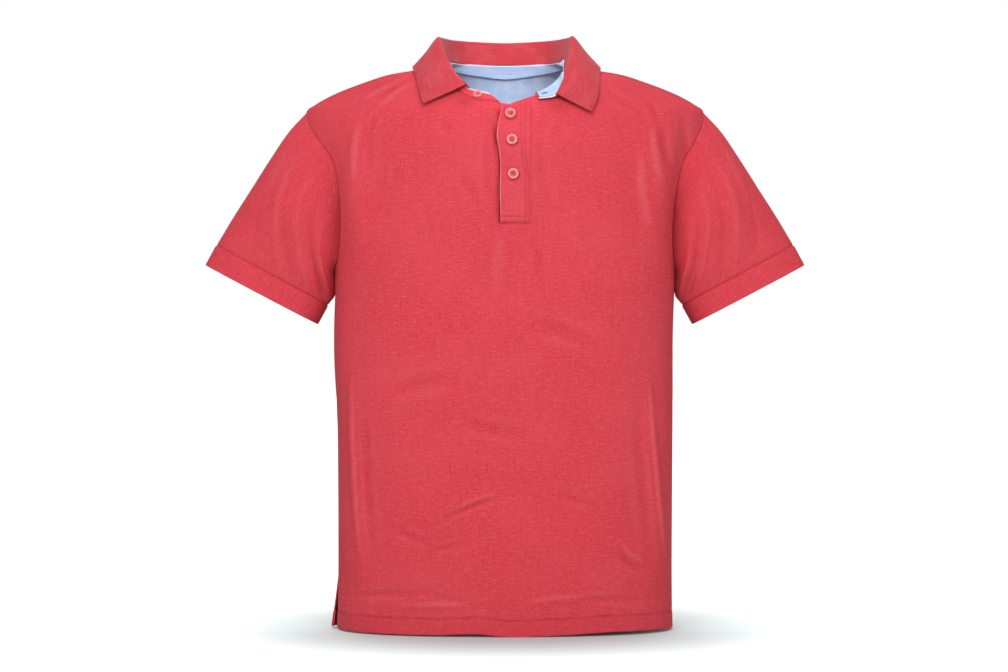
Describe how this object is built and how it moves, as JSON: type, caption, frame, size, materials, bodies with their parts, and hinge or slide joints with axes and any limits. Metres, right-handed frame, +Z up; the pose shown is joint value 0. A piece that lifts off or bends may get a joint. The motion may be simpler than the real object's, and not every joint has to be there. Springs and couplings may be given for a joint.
{
  "type": "polo shirt",
  "caption": "Short-sleeved polo shirt in worn form, hollow, with open neck, folded collar, half placket with buttons, cuffed sleeves and a side vent",
  "frame": {"origin": "between the shoulders, on the centre plane, at the height where the neck opening sits on a wearer", "axes": "+Z up, the front faces -Y, +X towards the viewer's right, the wearer's left"},
  "size_m": [0.7962, 0.2508, 0.7846],
  "materials": {
    "red_jersey": "slubbed red marl jersey, matt, soft nap",
    "red_flat_knit": "fine flat-knit rib in the same red, matt",
    "blue_chambray": "pale blue chambray plain weave with white weft, matt",
    "button_resin": "pink-red resin, satin polished rim, dished middle"
  },
  "bodies": {
    "root": {"front": "red_jersey", "back": "red_jersey", "sleeve_left": "red_jersey", "sleeve_right": "red_jersey", "cuff_left": "red_jersey", "cuff_right": "red_jersey", "collar": "red_flat_knit", "neckband": "red_jersey", "neckband_lining": "blue_chambray", "back_neck_facing": "blue_chambray", "placket_upper": "red_jersey", "placket_under": "red_jersey", "button_top": "button_resin", "button_middle": "button_resin", "button_low": "button_resin", "button_collar": "button_resin"}
  },
  "joints": []
}
